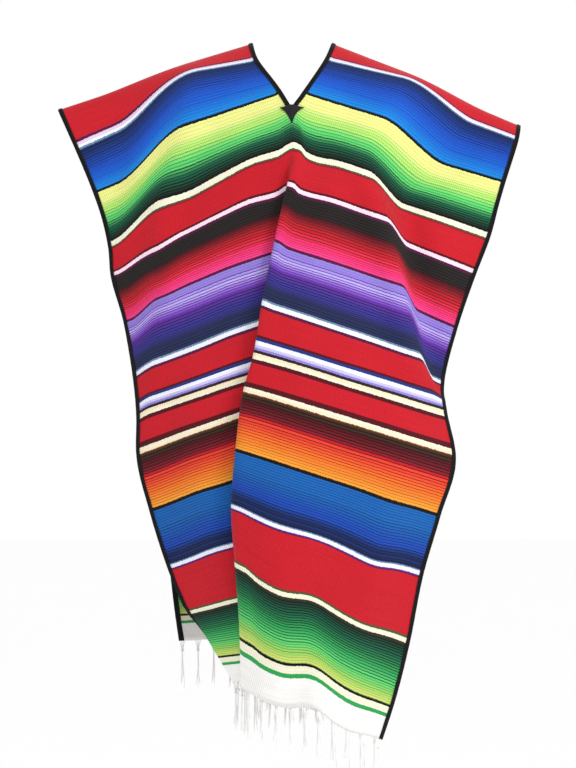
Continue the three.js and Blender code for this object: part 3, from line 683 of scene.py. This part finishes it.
def striped_colour(nodes, links, along):
    """The yarn colour at a distance from the shoulder fold, by a chain of colour ramps."""
    calc = partial(sums, nodes, links)
    stops = band_stops()
    chosen = None
    for first in range(0, len(stops), MOST_STOPS):
        part = stops[first:first + MOST_STOPS]
        rest = stops[first + MOST_STOPS:]
        begin = part[0][0]
        end = rest[0][0] if rest else HALF_LENGTH * MM + PAST_HEM
        span = nodes.new("ShaderNodeMapRange")
        links.new(along, span.inputs["Value"])
        set_values(span, From_Min=begin, From_Max=end)
        ramp = nodes.new("ShaderNodeValToRGB")
        ramp.color_ramp.interpolation = "CONSTANT"
        while len(ramp.color_ramp.elements) < len(part):
            ramp.color_ramp.elements.new(1.0)
        for element, (position, colour) in zip(ramp.color_ramp.elements, part):
            element.position = (position - begin) / (end - begin)
            element.color = linear(colour)
        links.new(span.outputs[0], ramp.inputs[0])
        if chosen is None:
            chosen = ramp.outputs["Color"]
        else:
            past = calc("GREATER_THAN", along, begin)
            chosen = blend(nodes, links, "MIX", past, chosen, ramp.outputs["Color"])
    return chosen


# Thread spacings in metres, and how finely the loose fibre is divided.
CLOTH_WARP, CLOTH_WEFT, CLOTH_FINENESS = 0.0030, 0.0012, 1500.0
TAPE_WARP, TAPE_WEFT, TAPE_FINENESS = 0.0011, 0.0009, 2200.0
TACK_STITCH, TACK_FINENESS = 0.0009, 2600.0
YARN_TURNS, YARN_FINENESS = 260.0, 1400.0
# How far, in metres, the edge of a band strays over the cloth and from thread to thread.
BAND_DRIFT, BAND_JITTER = 0.0035, 0.0016


def serape_cloth():
    """Weft-faced striped cloth: the weft carries the stripes, a rib shows over each warp."""
    material, nodes, links, shader = new_material("serape_cloth")
    calc = partial(sums, nodes, links)
    surface = uv_of(nodes)
    parts = split(nodes, links, surface)
    drift = rough_noise(nodes, links, surface, *BAND_WANDER)
    jitter = rough_noise(nodes, links, surface, *THREAD_JUMPS)
    along = calc("ABSOLUTE", parts["Y"])
    along = calc("MULTIPLY_ADD", calc("SUBTRACT", drift, 0.5), BAND_DRIFT, along)
    along = calc("MULTIPLY_ADD", calc("SUBTRACT", jitter, 0.5), BAND_JITTER, along)
    colour = striped_colour(nodes, links, along)
    weave = place_group(nodes, links, WEAVE, surface, Warp_Pitch=CLOTH_WARP, Weft_Pitch=CLOTH_WEFT)
    nap = place_group(nodes, links, NAP, surface, Fineness=CLOTH_FINENESS)
    streak = rough_noise(nodes, links, surface, *STREAKS)
    cloud = rough_noise(nodes, links, surface, *CLOUDS)
    tone = calc("MULTIPLY_ADD", streak, *STREAK_TONE)
    tone = calc("MULTIPLY", tone, calc("MULTIPLY_ADD", cloud, *CLOUD_TONE))
    # The weave shade is painted shade: the cloth is darker in the hollows between threads.
    tone = calc("MULTIPLY", tone, weave.outputs["Shade"])
    tone = calc("MULTIPLY", tone, calc("MULTIPLY_ADD", nap.outputs["Fleck"], *FLECK_TONE))
    grey = nodes.new("ShaderNodeCombineColor")
    for socket in grey.inputs[:3]:
        links.new(tone, socket)
    colour = blend(nodes, links, "MULTIPLY", 1.0, colour, grey.outputs[0])
    links.new(colour, shader.inputs["Base Color"])
    rough = calc("MULTIPLY_ADD", nap.outputs["Height"], *CLOTH_ROUGH)
    links.new(rough, shader.inputs["Roughness"])
    set_values(shader, Specular_IOR_Level=0.12, Sheen_Weight=0.05, Sheen_Roughness=0.6)
    woven = bump(nodes, links, weave.outputs["Height"], *WEAVE_BUMP)
    slub = bump(nodes, links, streak, *SLUB_BUMP, woven)
    links.new(bump(nodes, links, nap.outputs["Height"], *NAP_BUMP, slub), shader.inputs["Normal"])
    return material


# Blacks, as linear colours, and the line of stitches: how far in, half its
# thickness, the step of a stitch, and the share of it that shows.
BLACK_DEEP, BLACK_FLECK = (0.0030, 0.0028, 0.0034, 1.0), (0.012, 0.0115, 0.0135, 1.0)
BLACK_THREAD = (0.016, 0.0155, 0.018, 1.0)
# The two satin blacks are painted light: painted shade between the tack's stitches and a painted shine
# on their tops.
SATIN_PAINTED_SHADE, SATIN_PAINTED_SHINE = (0.0015, 0.0015, 0.002, 1.0), (0.012, 0.0115, 0.014, 1.0)
STITCH_IN, STITCH_THICK, STITCH_LONG, STITCH_SHOWN = 0.0046, 0.0004, 0.0042, 0.72


def tape_cloth():
    """Black twill tape with a line of stitches near its inner edge."""
    material, nodes, links, shader = new_material("black_tape")
    calc = partial(sums, nodes, links)
    surface = uv_of(nodes)
    weave = place_group(nodes, links, WEAVE, surface, Warp_Pitch=TAPE_WARP, Weft_Pitch=TAPE_WEFT)
    nap = place_group(nodes, links, NAP, surface, Fineness=TAPE_FINENESS)
    parts = split(nodes, links, surface)
    inward = calc("ABSOLUTE", parts["X"])
    near = calc("LESS_THAN", calc("ABSOLUTE", calc("SUBTRACT", inward, STITCH_IN)), STITCH_THICK)
    beat = calc("FRACT", calc("DIVIDE", parts["Y"], STITCH_LONG))
    stitch = calc("MULTIPLY", near, calc("LESS_THAN", beat, STITCH_SHOWN))
    ground = blend(nodes, links, "MIX", nap.outputs["Fleck"], BLACK_DEEP, BLACK_FLECK)
    thread = blend(nodes, links, "MIX", stitch, ground, BLACK_THREAD)
    links.new(thread, shader.inputs["Base Color"])
    rough = calc("MULTIPLY_ADD", nap.outputs["Height"], *TAPE_ROUGH)
    links.new(rough, shader.inputs["Roughness"])
    set_values(shader, Specular_IOR_Level=0.14, Sheen_Weight=0.02)
    height = calc("MULTIPLY_ADD", stitch, 1.6, weave.outputs["Height"])
    links.new(bump(nodes, links, height, *TAPE_BUMP), shader.inputs["Normal"])
    return material


def tack_thread():
    """Black satin stitches laid side by side across the arrowhead, with painted shade between them and a
    painted shine on their tops.
    """
    material, nodes, links, shader = new_material("tack_thread")
    calc = partial(sums, nodes, links)
    surface = uv_of(nodes)
    parts = split(nodes, links, surface)
    nap = place_group(nodes, links, NAP, surface, Fineness=TACK_FINENESS)
    slope = calc("MULTIPLY_ADD", calc("ABSOLUTE", parts["X"]), -0.6, parts["Y"])
    stitch = calc("ABSOLUTE", calc("SINE", calc("MULTIPLY", slope, math.pi / TACK_STITCH)))
    # Painted shade in the grooves between stitches and a painted shine on each stitch top.
    tone = blend(nodes, links, "MIX", stitch, SATIN_PAINTED_SHADE, SATIN_PAINTED_SHINE)
    links.new(tone, shader.inputs["Base Color"])
    rough = calc("MULTIPLY_ADD", nap.outputs["Height"], *TACK_ROUGH)
    links.new(rough, shader.inputs["Roughness"])
    set_values(shader, Specular_IOR_Level=0.25)
    height = calc("MULTIPLY_ADD", nap.outputs["Height"], 0.25, stitch)
    links.new(bump(nodes, links, height, *TACK_BUMP), shader.inputs["Normal"])
    return material


# White cotton as linear colours: painted shade between its plies, the cotton on them, and its loose
# fibre.
COTTON_PAINTED_SHADE, COTTON_TOP = (0.70, 0.68, 0.66, 1.0), (0.95, 0.94, 0.93, 1.0)
COTTON_FIBRE = (0.93, 0.92, 0.9, 1.0)


def fringe_yarn():
    """Undyed cotton warp, two plies twisted together, with painted shade in the grooves between the
    plies.
    """
    material, nodes, links, shader = new_material("undyed_warp")
    calc = partial(sums, nodes, links)
    surface = uv_of(nodes)
    parts = split(nodes, links, surface)
    nap = place_group(nodes, links, NAP, surface, Fineness=YARN_FINENESS)
    turns = calc("DIVIDE", parts["X"], YARN_ROUND)
    lay = calc("MULTIPLY_ADD", parts["Y"], YARN_TURNS, turns)
    ply = calc("ABSOLUTE", calc("SINE", calc("MULTIPLY", lay, math.pi * 2)))
    # The cotton is darker between the plies: painted shade.
    tone = blend(nodes, links, "MIX", ply, COTTON_PAINTED_SHADE, COTTON_TOP)
    fibre = calc("MULTIPLY", nap.outputs["Fleck"], 0.4)
    tone = blend(nodes, links, "MIX", fibre, tone, COTTON_FIBRE)
    links.new(tone, shader.inputs["Base Color"])
    links.new(calc("MULTIPLY_ADD", nap.outputs["Height"], *YARN_ROUGH), shader.inputs["Roughness"])
    set_values(shader, Sheen_Weight=0.25)
    links.new(bump(nodes, links, ply, *YARN_BUMP), shader.inputs["Normal"])
    return material


CLOTH, TAPE, TACK, YARN_WHITE = serape_cloth(), tape_cloth(), tack_thread(), fringe_yarn()


# ---- The cloth ----
# The direction of the cloth beside the roll is taken over this width.
ROLL_PROBE = 4.0


def roll_under(points, places, along):
    """The lowest part of the left front edge, rolled under itself in a small curl."""
    share = float(smooth((along - ROLL_START) / (ROLL_FULL - ROLL_START)))
    over = ROLL_WIDTH - (np.asarray(places, float) + HALF_WIDTH)
    if share == 0 or over.max() <= 0:
        return points
    probes = [ROLL_WIDTH - HALF_WIDTH, ROLL_WIDTH + ROLL_PROBE - HALF_WIDTH]
    base, inner = soften(hang(along, probes), probes, along)
    outward = (base - inner) / np.linalg.norm(base - inner)
    back = np.cross(outward, [0, 0, 1.0])
    back *= np.sign(back[1]) / np.linalg.norm(back)
    past = np.maximum(over, 0)
    turn = past / ROLL_RADIUS * share
    flat = np.where(turn > HAIR, np.sin(turn) / np.maximum(turn, HAIR), 1.0) * past
    deep = np.where(turn > HAIR, (1 - np.cos(turn)) / np.maximum(turn, HAIR), 0.0) * past
    rolled = base + outward * flat[:, None] * MM + back * deep[:, None] * MM
    return np.where((over > 0)[:, None], rolled, points)


def place(along, places):
    """Points of the softened middle surface, in metres."""
    return roll_under(soften(hang(along, places), places, along), places, along)


# How far to each side a slope of the cloth is measured.
REACH_ACROSS, REACH_ALONG = 1.5, 2.0


def skin(along, places, low=-HALF_WIDTH, high=HALF_WIDTH):
    """Points of the cloth and its outward directions, between two limits across it."""
    places = np.clip(np.asarray(places, float), low, high)
    here = place(along, places)
    over = (place(along, np.minimum(places + REACH_ACROSS, high))
            - place(along, np.maximum(places - REACH_ACROSS, low)))
    reach = np.clip([along - REACH_ALONG, along + REACH_ALONG], -HALF_LENGTH, HALF_LENGTH)
    down = place(reach[1], places) - place(reach[0], places)
    normal = np.cross(down, over)
    return here, normal / np.linalg.norm(normal, axis=1)[:, None]


def weave_cloth():
    """The whole length of cloth in one sheet, open along the neck slit."""
    stops = row_stops()
    halves = ([], [])
    widths = ([], [])
    for along in stops:
        for side, places in enumerate(column_places(along)):
            halves[side].append(place(along, places))
            widths[side].append(places)
    bm = bmesh.new()
    for points, places in zip(halves, widths):
        points = np.array(points)
        places = np.array(places)
        far = np.repeat(stops[:, None], places.shape[1], axis=1)
        grid(bm, points, np.stack([places, far], axis=2) * MM)
    bmesh.ops.remove_doubles(bm, verts=[v for v in bm.verts if v.is_boundary], dist=CLOTH_WELD)
    bmesh.ops.reverse_faces(bm, faces=bm.faces)
    cloth = new_piece("serape_cloth", bm, CLOTH)
    wall = cloth.modifiers.new("wall", "SOLIDIFY")
    wall.thickness = CLOTH_WALL * MM
    wall.offset = 0.0
    return cloth


# ---- The tapes ----
# How deep each line of the folded tape lies over the cloth, and how far out it stands.
TAPE_SECTION = [
    (5.8, 1.84), (5.1, 2.0), (4.6, 1.86), (4.1, 2.1), (2.7, 2.2), (1.0, 2.1), (-0.6, 1.75),
    (-1.3, 0.0),
    (-0.6, -1.75), (1.0, -2.1), (2.7, -2.2), (4.1, -2.1), (4.6, -1.86), (5.1, -2.0), (5.8, -1.84),
]
TAPE_TURN = len(TAPE_SECTION) // 2
TAPE_BODY = 0.7
# Uneven sewing: how much, how often along the tape, and where it starts.
PUCKERS = [(0.07, 0.31, 0.0), (0.05, 0.83, 1.0)]
WANDER, WANDER_OFTEN = 0.04, 0.11


def fold_tape(name, edge, inward, stops, low, high):
    """A tape folded over one edge of the cloth, from one stop to another."""
    depths = np.array([depth for depth, _ in TAPE_SECTION])
    stands = np.array([stand for _, stand in TAPE_SECTION])
    points = []
    for along in stops:
        pucker = 1 + sum(swell * math.sin(along * often + start) for swell, often, start in PUCKERS)
        wide = 1 + WANDER * math.sin(along * WANDER_OFTEN)
        here, normal = skin(along, edge + inward * np.maximum(depths * wide, 0), low, high)
        outward = here[TAPE_TURN] - here[0]
        outward = outward / np.linalg.norm(outward)
        past = np.maximum(-depths, 0)[:, None] * outward
        points.append(here + (normal * (stands * pucker)[:, None] + past) * MM)
    points = np.array(points)
    sides = np.where(np.arange(len(depths)) < TAPE_TURN, 1, -1)
    inside = np.broadcast_to(depths * sides, points.shape[:2])
    far = np.repeat(np.asarray(stops)[:, None], len(depths), axis=1)
    bm = bmesh.new()
    grid(bm, points, np.stack([inside, far], axis=2) * MM)
    bmesh.ops.recalc_face_normals(bm, faces=bm.faces)
    tape = new_piece(name, bm, TAPE)
    body = tape.modifiers.new("body", "SOLIDIFY")
    body.thickness = TAPE_BODY * MM
    body.offset = 0.0
    return tape


# ---- The arrowhead tacks ----
TACK_COLUMNS, TACK_ROWS = 25, 22
TACK_START, TACK_LENGTH, TACK_WALL = 8, 32, 0.6
# Half its width, how fast it narrows, half its tip, and how far its barbs reach back.
TACK_HALF, TACK_TAPER, TACK_TIP, TACK_BARB = 14.5, 1.15, 0.9, 2.5
# How high it stands over the ends of the tapes, how far it comes down past them, its
# crown; then where they start and how long the way down is, as shares of its length.
TACK_RISE, TACK_DROP, TACK_CROWN = 3.9, 2.1, 0.7
DROP_START, DROP_SPAN, CROWN_START = 0.1, 0.4, 0.15


def sew_tack(name, way):
    """A triangle of thread that closes the bottom of the slit, its point down."""
    points, uvs = [], []
    for share in np.linspace(0, 1, TACK_ROWS):
        along = way * (SLIT_END - TACK_START + share * TACK_LENGTH)
        half = TACK_HALF * (1 - share) ** TACK_TAPER + TACK_TIP
        barb = TACK_BARB * (1 - share)
        over = TACK_RISE - TACK_DROP * smooth((share - DROP_START) / DROP_SPAN)
        crown = TACK_CROWN * math.sin(math.pi * min(1, CROWN_START + share))
        row_points, row_uvs = [], []
        for t in np.linspace(-1, 1, TACK_COLUMNS):
            here, normal = skin(along - way * t * t * barb, [t * half])
            row_points.append(here[0] + normal[0] * (over + crown * (1 - t * t)) * MM)
            row_uvs.append((t * half * MM, share * TACK_LENGTH * MM))
        points.append(row_points)
        uvs.append(row_uvs)
    bm = bmesh.new()
    grid(bm, np.array(points), np.array(uvs))
    if way > 0:
        bmesh.ops.reverse_faces(bm, faces=bm.faces)
    tack = new_piece(name, bm, TACK)
    body = tack.modifiers.new("body", "SOLIDIFY")
    body.thickness = TACK_WALL * MM
    body.offset = -1.0
    return tack


# ---- The fringe ----
# The ends of a strand: their places at the hem, how far up they start, and their points.
END_PLACES, END_START, END_POINTS = (-5.2, -1.8, 1.8, 5.2), 4.0, 20
END_RADIUS, END_TIP_SHARE, END_SIDES = 0.62, 0.45, 5
SHORTEST, LONGEST = 0.86, 1.03
SPLAY_ASIDE, SPLAY_FRONT, SPLAY_CURVE = 3.4, 2.6, 1.4
# Through the knot the ends lie this far apart; they come loose a little below it.
GATHER_CURVE, KNOT_ASIDE, KNOT_FRONT, KNOT_BELOW = 1.2, 0.55, 1.0, 3
SWAY, SWAY_OFTEN, SWAY_ROUND = 0.9, 7.0, 6.28
# The wrap of the knot: its turns, its radius and how it swells, half its height, its yarn.
WRAP_TURNS, WRAP_RADIUS, WRAP_SWELL, WRAP_HALF = 1.75, 1.75, 0.35, 2.1
WRAP_YARN, WRAP_SIDES = 1.05, 6


def tie_strand(bm, root, aside, length, rng):
    """Four warp ends that meet in a knot and hang free below it."""
    aside = Vector(aside).normalized()
    front = Vector((-aside.y, aside.x, 0)).normalized()
    knot = Vector(root) + Vector((0, 0, -KNOT_AT * MM))
    for k, start in enumerate(END_PLACES):
        tip = length * rng.uniform(SHORTEST, LONGEST) * MM
        splay = (aside * rng.uniform(-SPLAY_ASIDE, SPLAY_ASIDE)
                 + front * rng.uniform(-SPLAY_FRONT, SPLAY_FRONT))
        phase = rng.uniform(0, SWAY_ROUND)
        path = []
        for t in np.linspace(0, 1, END_POINTS):
            fall = -END_START * MM + t * (tip + END_START * MM)
            gather = min(1.0, max(0.0, fall / (KNOT_AT * MM)))
            free = (KNOT_AT + KNOT_BELOW) * MM
            loose = max(0.0, (fall - free) / (tip - free))
            sway = math.sin(phase + t * SWAY_OFTEN) * SWAY * loose
            spot = Vector(root) + aside * (start * (1 - gather) ** GATHER_CURVE + sway) * MM
            spot += aside * (k - 1.5) * KNOT_ASIDE * MM * gather
            spot += front * ((k % 2) - 0.5) * KNOT_FRONT * MM * gather
            spot += splay * loose**SPLAY_CURVE * MM
            spot.z = root[2] - fall
            path.append(spot)
        thick = np.full(len(path), END_RADIUS * MM)
        thick[-1] *= END_TIP_SHARE
        tube(bm, path, thick, END_SIDES)
    wrap = []
    for t in np.linspace(0, 1, END_POINTS):
        angle = t * 2 * math.pi * WRAP_TURNS
        swell = WRAP_RADIUS + WRAP_SWELL * math.sin(math.pi * t)
        wrap.append(knot + (aside * math.cos(angle) + front * math.sin(angle)) * swell * MM
                    + Vector((0, 0, WRAP_HALF * (1 - 2 * t) * MM)))
    tube(bm, wrap, WRAP_YARN * MM, WRAP_SIDES)


# Strands differ a little in length along the hem, and each hem has draws of its own. The
# direction of the hem is taken this far to each side of a strand.
LENGTH_DRIFT, DRIFT_OFTEN = 0.05, 2.3
FRONT_SEED, BACK_SEED = 11, 12
HEM_REACH = 2


def knot_fringe(name, way):
    """Every strand along one hem."""
    rng = np.random.default_rng(FRONT_SEED if way > 0 else BACK_SEED)
    bm = bmesh.new()
    outermost = HALF_WIDTH - TAPE_WIDTH / 2
    for k in range(FRINGE_COUNT):
        across = -outermost + k * 2 * outermost / (FRINGE_COUNT - 1)
        reach = [max(across - HEM_REACH, -HALF_WIDTH), across, min(across + HEM_REACH, HALF_WIDTH)]
        near = place(way * HALF_LENGTH, np.array(reach))
        aside = near[2] - near[0]
        aside[2] = 0
        length = FRINGE_LENGTH * (1 + LENGTH_DRIFT * math.sin(k * DRIFT_OFTEN))
        tie_strand(bm, near[1], aside, length, rng)
    bmesh.ops.recalc_face_normals(bm, faces=bm.faces)
    return new_piece(name, bm, YARN_WHITE)


# ---- Build the garment ----
# The neck tapes stop short of the ends of the slit, where the arrowheads cover them.
NECK_SHORT, NECK_STOPS = 6, 71
cloth = weave_cloth()
stops = row_stops()
tight = np.linspace(NECK_SHORT - SLIT_END, SLIT_END - NECK_SHORT, NECK_STOPS)
tapes = {
    "binding_left": fold_tape("tape_left", -HALF_WIDTH, 1, stops, -HALF_WIDTH, HALF_WIDTH),
    "binding_right": fold_tape("tape_right", HALF_WIDTH, -1, stops, -HALF_WIDTH, HALF_WIDTH),
    "neck_tape_left": fold_tape("neck_edge_left", -HAIR, -1, tight, -HALF_WIDTH, -HAIR),
    "neck_tape_right": fold_tape("neck_edge_right", HAIR, 1, tight, HAIR, HALF_WIDTH),
}
tacks = {"tack_front": sew_tack("arrow_tack_front", 1), "tack_back": sew_tack("arrow_tack_back", -1)}
fringes = {"fringe_front": knot_fringe("knotted_fringe_front", 1),
           "fringe_back": knot_fringe("knotted_fringe_back", -1)}

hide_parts("cloth")
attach(cloth, "root")
for pieces, slot in ((tapes, "tape"), (tacks, "tack"), (fringes, "fringe")):
    for node, piece in pieces.items():
        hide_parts(node)
        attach(piece, "root")


# ---- Floor, light and camera, in metres ----
FLOOR_RADIUS, FLOOR_SEGMENTS, FLOOR_Z = 40.0, 96, -1.62
FLOOR_WHITE, FLOOR_ROUGHNESS = (0.985, 0.985, 0.985, 1.0), 0.9
SKY_WHITE = (1.0, 1.0, 1.0, 1.0)
AIM = (0.0, 0.0, -0.55)
# Each lamp: its name, where it stands, its size and its power in watts.
LAMPS = [
    ("key", (2.3, -2.5, 1.5), (1.0, 1.0), 80),
    ("fill", (-2.6, -3.0, 0.6), (2.4, 2.4), 14),
    ("rim", (0.4, 3.0, 1.6), (2.4, 1.6), 30),
]
# The camera looks level from far in front. Its frame is this high at the chest, and its
# sensor is in millimetres.
FRAME_HEIGHT, DISTANCE, CHEST_OUT, SENSOR = 1.2288, 12.0, 0.08, 36.0
LOOK_X, LOOK_Z = -0.0072, -0.5424


def pale_floor():
    bm = bmesh.new()
    bmesh.ops.create_circle(bm, cap_ends=True, segments=FLOOR_SEGMENTS, radius=FLOOR_RADIUS)
    bmesh.ops.translate(bm, verts=bm.verts, vec=(0, 0, FLOOR_Z))
    material, _, _, shader = new_material("pale_floor")
    set_values(shader, Base_Color=FLOOR_WHITE, Roughness=FLOOR_ROUGHNESS)
    floor = new_piece("pale_floor", bm, material, False)


def soft_light(name, spot, size, power):
    data = bpy.data.lights.new(name, "AREA")
    data.shape = "RECTANGLE"
    data.size, data.size_y = size
    data.energy = power
    lamp = bpy.data.objects.new(name, data)
    bpy.context.scene.collection.objects.link(lamp)
    lamp.location = spot
    lamp.rotation_euler = (Vector(AIM) - Vector(spot)).to_track_quat("-Z", "Y").to_euler()


pale_floor()
for lamp_values in LAMPS:
    soft_light(*lamp_values)
world = bpy.data.worlds.new("studio")
bpy.context.scene.world = world
world.use_nodes = True
set_values(world.node_tree.nodes["Background"], Color=SKY_WHITE, Strength=1.0)
bpy.context.scene.view_settings.view_transform = "Standard"

camera_data = bpy.data.cameras.new("camera")
camera_data.sensor_width = SENSOR
camera_data.lens = SENSOR * DISTANCE / FRAME_HEIGHT
camera = bpy.data.objects.new("camera", camera_data)
bpy.context.scene.collection.objects.link(camera)
camera.location = (LOOK_X, -DISTANCE - CHEST_OUT, LOOK_Z)
camera.rotation_euler = (math.radians(90), 0, 0)
bpy.context.scene.camera = camera

bpy.context.view_layer.update()
